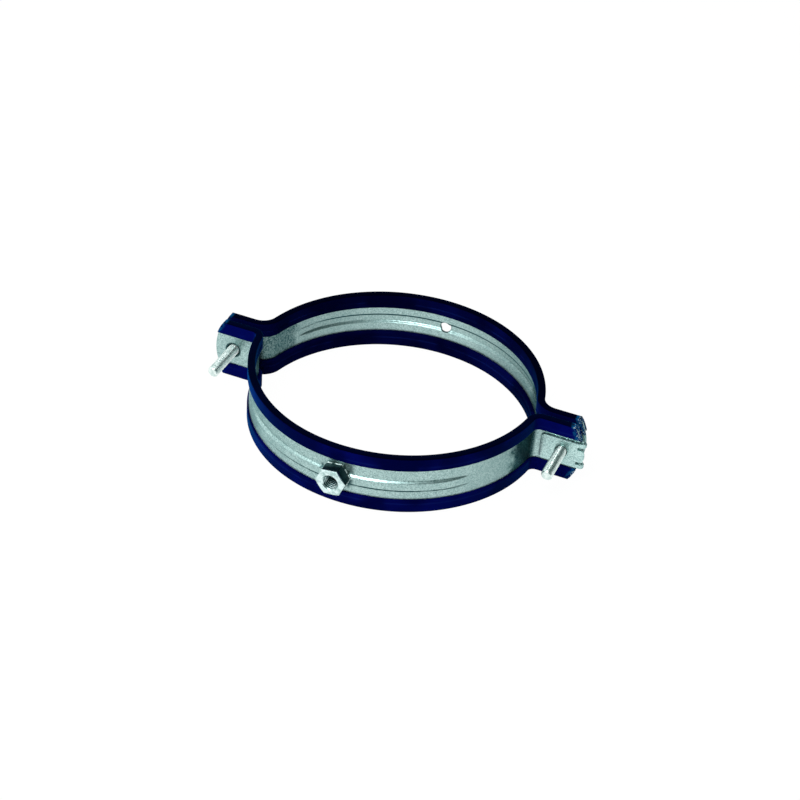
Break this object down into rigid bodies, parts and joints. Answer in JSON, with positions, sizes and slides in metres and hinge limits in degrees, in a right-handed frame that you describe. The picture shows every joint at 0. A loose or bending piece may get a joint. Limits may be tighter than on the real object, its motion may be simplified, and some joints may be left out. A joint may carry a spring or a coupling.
{
  "type": "pipe suspension clamp",
  "caption": "Round galvanised steel pipe clamp in two halves with navy rubber edge trims, closing screws through the ears, a hooked lock plate and a welded nut for a threaded rod.",
  "frame": {"origin": "middle of the whole clamp's box, at the surface that the lower rubbers lie on", "axes": "+Z along the pipe, +X from the plain ear to the ear with the lock plate, -Y out of the rod nut"},
  "size_m": [0.2086, 0.1553, 0.0332],
  "materials": {
    "galvanised_sheet": "hot-dip galvanised sheet, satin with a faint spangle",
    "navy_rubber": "extruded rubber, semi-matt navy blue",
    "zinc_plated_fastener": "bright zinc plating",
    "weld_metal": "dull, heat-marked weld"
  },
  "bodies": {
    "front_half": {"front_band": "galvanised_sheet", "front_upper_rubber": "navy_rubber", "front_lower_rubber": "navy_rubber", "connection_nut": "zinc_plated_fastener", "nut_weld": "weld_metal", "lock_plate": "galvanised_sheet"},
    "rear_half": {"rear_band": "galvanised_sheet", "rear_upper_rubber": "navy_rubber", "rear_lower_rubber": "navy_rubber", "left_washer": "zinc_plated_fastener", "right_washer": "zinc_plated_fastener"},
    "left_closing_screw": {"left_screw": "zinc_plated_fastener"},
    "right_closing_screw": {"right_screw": "zinc_plated_fastener"}
  },
  "joints": [
    {"name": "clamp_opening", "type": "slide", "parent": "front_half", "child": "rear_half", "axis": [0, 1, 0], "range_m": [-0.0032, 0.0208]},
    {"name": "left_screw_turn", "type": "hinge", "parent": "rear_half", "child": "left_closing_screw", "pos_m": [-0.09415, 0.01205, 0.0166], "axis": [0, 1, 0], "range_deg": [-1160, 7500]},
    {"name": "right_screw_turn", "type": "hinge", "parent": "rear_half", "child": "right_closing_screw", "pos_m": [0.09185, 0.01205, 0.0166], "axis": [0, 1, 0], "range_deg": [-1160, 7500]}
  ],
  "couplings": [
    {"joint": "left_screw_turn", "follows": "clamp_opening", "rad_per_m": 6283.2},
    {"joint": "right_screw_turn", "follows": "clamp_opening", "rad_per_m": 6283.2}
  ]
}
